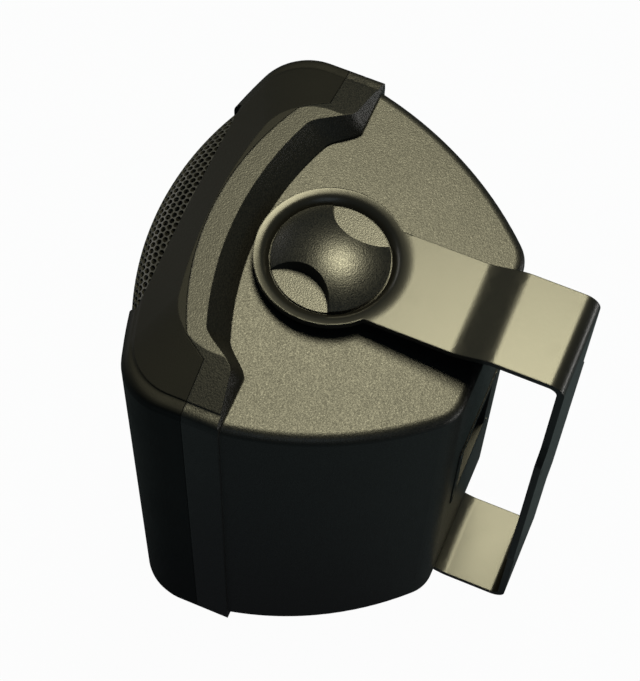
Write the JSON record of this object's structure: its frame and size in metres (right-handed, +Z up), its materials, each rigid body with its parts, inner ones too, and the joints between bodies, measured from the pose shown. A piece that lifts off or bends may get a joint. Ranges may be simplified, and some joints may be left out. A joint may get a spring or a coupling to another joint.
{
  "type": "passive speaker",
  "caption": "Compact two-way passive speaker with a bowed perforated grille, a tapered black housing and a swivelling U bracket held by round knobs.",
  "frame": {"origin": "under the middle of the whole, on the surface it stands on", "axes": "+Z up, -Y towards the grille, +Y towards the wall, +X to the right seen from the front"},
  "size_m": [0.1948, 0.2044, 0.2726],
  "materials": {
    "cabinet_plastic": "Fine spark texture on black plastic",
    "frame_plastic": "Smoother satin black plastic",
    "grille_steel": "Black painted perforated sheet",
    "foam": "Foam gasket",
    "basket_steel": "Black painted pressed steel",
    "cone_paper": "Coated pulp",
    "rubber": "Smooth black rubber",
    "spider_cloth": "Resin-treated woven cloth",
    "former_foil": "Thin foil",
    "copper_wire": "Enamelled copper winding",
    "motor_steel": "Plated steel",
    "ferrite": "Ground ferrite ring",
    "driver_plastic": "Moulded black plate",
    "dome_silk": "Coated silk",
    "screw_steel": "Blackened steel",
    "post_brass": "Turned brass",
    "cap_black": "Black moulded cap",
    "cap_red": "Red moulded cap",
    "board": "Laminate board",
    "capacitor_sleeve": "Sleeved can",
    "ceramic": "Ceramic body",
    "fibre": "White fibre wadding",
    "bracket_steel": "Satin black powder coat",
    "knob_plastic": "Fine spark texture on black plastic"
  },
  "bodies": {
    "housing": {"cabinet": "cabinet_plastic", "front_frame": "frame_plastic", "grille": "grille_steel", "woofer_gasket": "foam", "woofer_basket": "basket_steel", "woofer_surround": "rubber", "woofer_spider": "spider_cloth", "woofer_top_plate": "motor_steel", "woofer_magnet": "ferrite", "woofer_yoke": "motor_steel", "tweeter_faceplate": "driver_plastic", "tweeter_dome": "dome_silk", "tweeter_magnet": "ferrite", "frame_screws": "screw_steel", "woofer_screws": "screw_steel", "tweeter_screws": "screw_steel", "terminal_cup": "driver_plastic", "terminal_screws": "screw_steel", "post_left": "post_brass", "post_right": "post_brass", "crossover_board": "board", "crossover_coil": "copper_wire", "crossover_capacitor": "capacitor_sleeve", "crossover_resistor": "ceramic", "board_screws": "screw_steel", "damping_pad": "fibre", "pivot_insert_top": "post_brass", "pivot_insert_bottom": "post_brass", "pivot_washer_top": "rubber", "pivot_washer_bottom": "rubber"},
    "bracket": {"u_bracket": "bracket_steel"},
    "upper_knob": {"knob_top": "knob_plastic", "knob_bolt_top": "screw_steel"},
    "lower_knob": {"knob_bottom": "knob_plastic", "knob_bolt_bottom": "screw_steel"},
    "woofer_diaphragm": {"woofer_cone": "cone_paper", "dust_cap": "cone_paper", "coil_former": "former_foil", "voice_coil": "copper_wire"},
    "black_cap": {"post_cap_left": "cap_black"},
    "red_cap": {"post_cap_right": "cap_red"}
  },
  "joints": [
    {"name": "bracket_swivel", "type": "hinge", "parent": "housing", "child": "bracket", "pos_m": [0, -0.0178, 0.1363], "axis": [0, 0, 1], "range_deg": [-75, 75]},
    {"name": "upper_knob_turn", "type": "hinge", "parent": "housing", "child": "upper_knob", "pos_m": [0, -0.0178, 0.2581], "axis": [0, 0, 1], "range_deg": [0, 360]},
    {"name": "lower_knob_turn", "type": "hinge", "parent": "housing", "child": "lower_knob", "pos_m": [0, -0.0178, 0.0145], "axis": [0, 0, -1], "range_deg": [0, 360]},
    {"name": "woofer_travel", "type": "slide", "parent": "housing", "child": "woofer_diaphragm", "axis": [0, 1, 0], "range_m": [-0.003, 0.003], "stiffness_N_per_m": 1500, "deforming": ["woofer_surround", "woofer_spider"]},
    {"name": "black_cap_turn", "type": "hinge", "parent": "housing", "child": "black_cap", "pos_m": [-0.00953, 0.0495, 0.1363], "axis": [0, 1, 0], "range_deg": [0, 360]},
    {"name": "red_cap_turn", "type": "hinge", "parent": "housing", "child": "red_cap", "pos_m": [0.00953, 0.0495, 0.1363], "axis": [0, 1, 0], "range_deg": [0, 360]}
  ]
}
